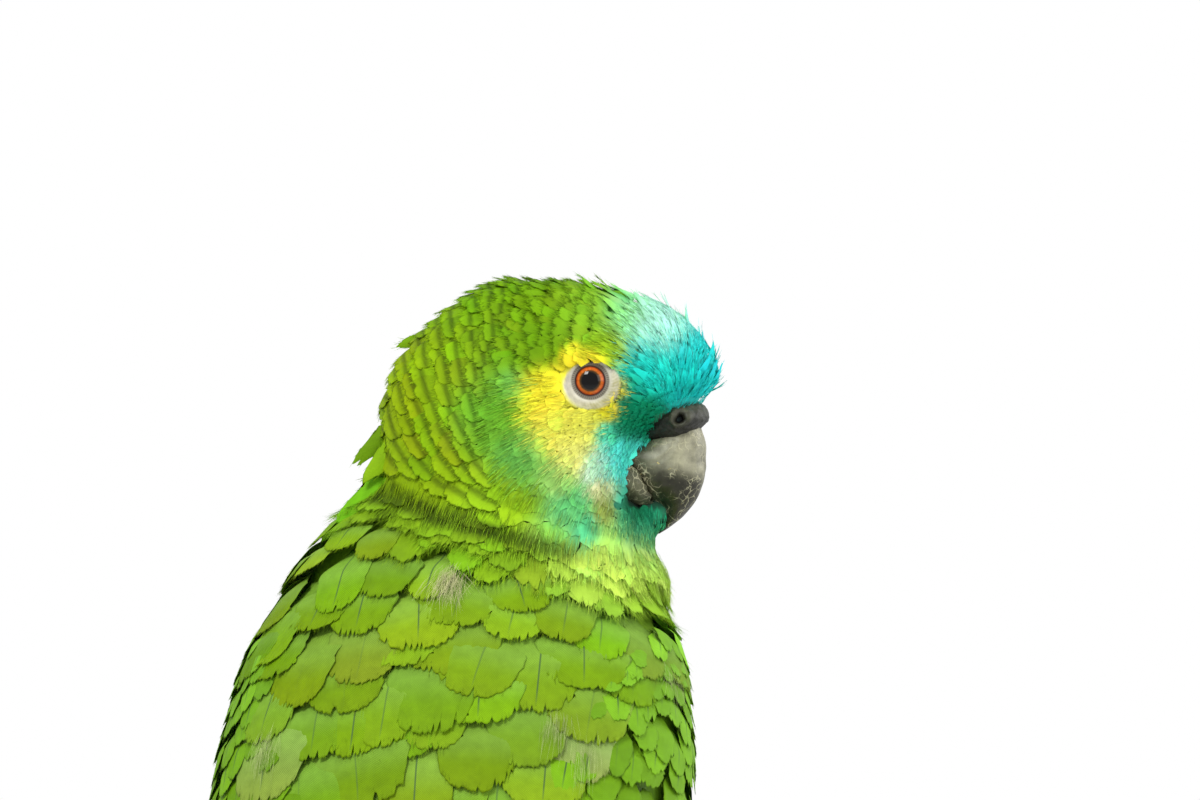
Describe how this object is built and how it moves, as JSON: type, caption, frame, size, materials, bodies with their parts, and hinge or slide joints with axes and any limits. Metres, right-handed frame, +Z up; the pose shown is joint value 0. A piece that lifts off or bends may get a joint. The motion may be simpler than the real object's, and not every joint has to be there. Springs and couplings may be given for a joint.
{
  "type": "turquoise-fronted amazon parrot",
  "caption": "Life-size still model of a green amazon parrot with a turquoise forehead, gripping a short cut branch on a plain display stand and looking over its shoulder.",
  "frame": {"origin": "centre of the flat underside of the stand's round base", "axes": "+Z up, the bird's body faces -Y with its right side at -X, and its head is turned about 80 degrees to its right"},
  "size_m": [0.1632, 0.164, 0.35],
  "materials": {
    "plumage": "feathers, green with darker edges",
    "foot_skin": "grey scaly skin",
    "bill": "dark grey horn, scratched",
    "cere": "black grained skin",
    "eye": "glossy orange iris, black pupil",
    "claw": "dark horn",
    "bark": "rough bark",
    "base_wood": "dark varnished wood",
    "rod_steel": "brushed"
  },
  "bodies": {
    "root": {"head": "plumage", "neck": "plumage", "trunk": "plumage", "tail": "plumage", "wing_right": "plumage", "wing_left": "plumage", "thigh_right": "plumage", "thigh_left": "plumage", "shank_right": "foot_skin", "shank_left": "foot_skin", "foot_right": "foot_skin", "foot_left": "foot_skin", "bill_upper": "bill", "bill_lower": "bill", "cere": "cere", "eye_right": "eye", "eye_left": "eye", "claw_right_inner_front": "claw", "claw_right_outer_front": "claw", "claw_right_inner_back": "claw", "claw_right_outer_back": "claw", "claw_left_inner_front": "claw", "claw_left_outer_front": "claw", "claw_left_inner_back": "claw", "claw_left_outer_back": "claw", "perch": "bark", "stand_base": "base_wood", "stand_rod_right": "rod_steel", "stand_rod_left": "rod_steel"}
  },
  "joints": []
}
